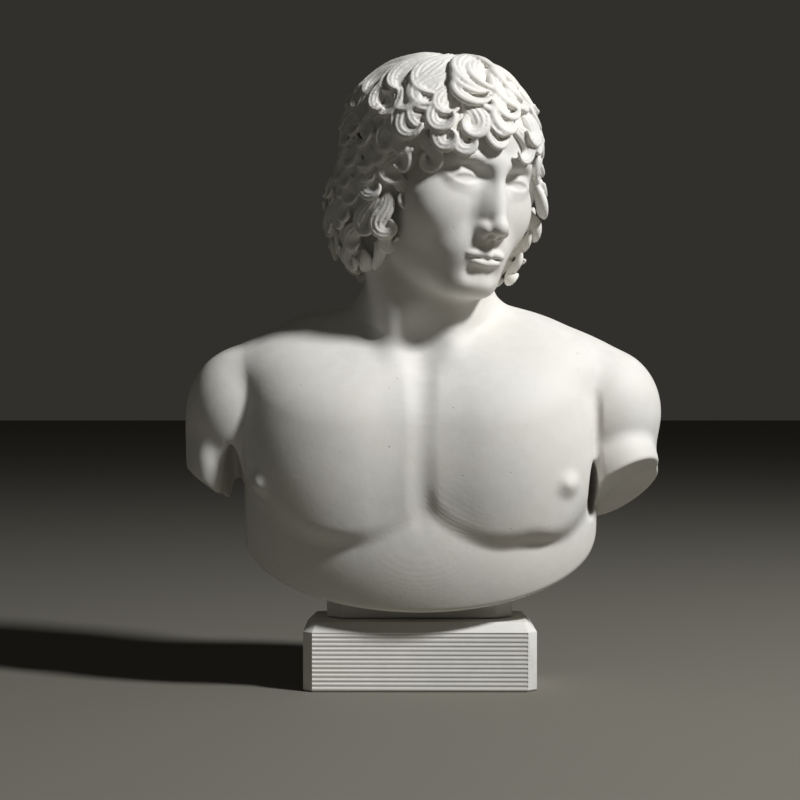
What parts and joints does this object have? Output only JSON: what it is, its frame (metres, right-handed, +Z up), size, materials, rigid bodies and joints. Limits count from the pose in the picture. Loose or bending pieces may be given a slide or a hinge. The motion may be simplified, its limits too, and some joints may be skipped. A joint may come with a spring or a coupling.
{
  "type": "classical bust",
  "caption": "Classical bust of a curly-haired youth, head turned aside, arms cut short, on a low ribbed block plinth.",
  "frame": {"origin": "centre of the plinth's underside", "axes": "+Z up, the chest faces -Y, +X to the viewer's right when looking at the chest"},
  "size_m": [0.2386, 0.1248, 0.315],
  "materials": {
    "bust_plaster": "matt off-white cast plaster",
    "plinth_plaster": "matt off-white cast plaster with fine ribs on the front"
  },
  "bodies": {
    "root": {"bust": "bust_plaster", "plinth": "plinth_plaster"}
  },
  "joints": []
}
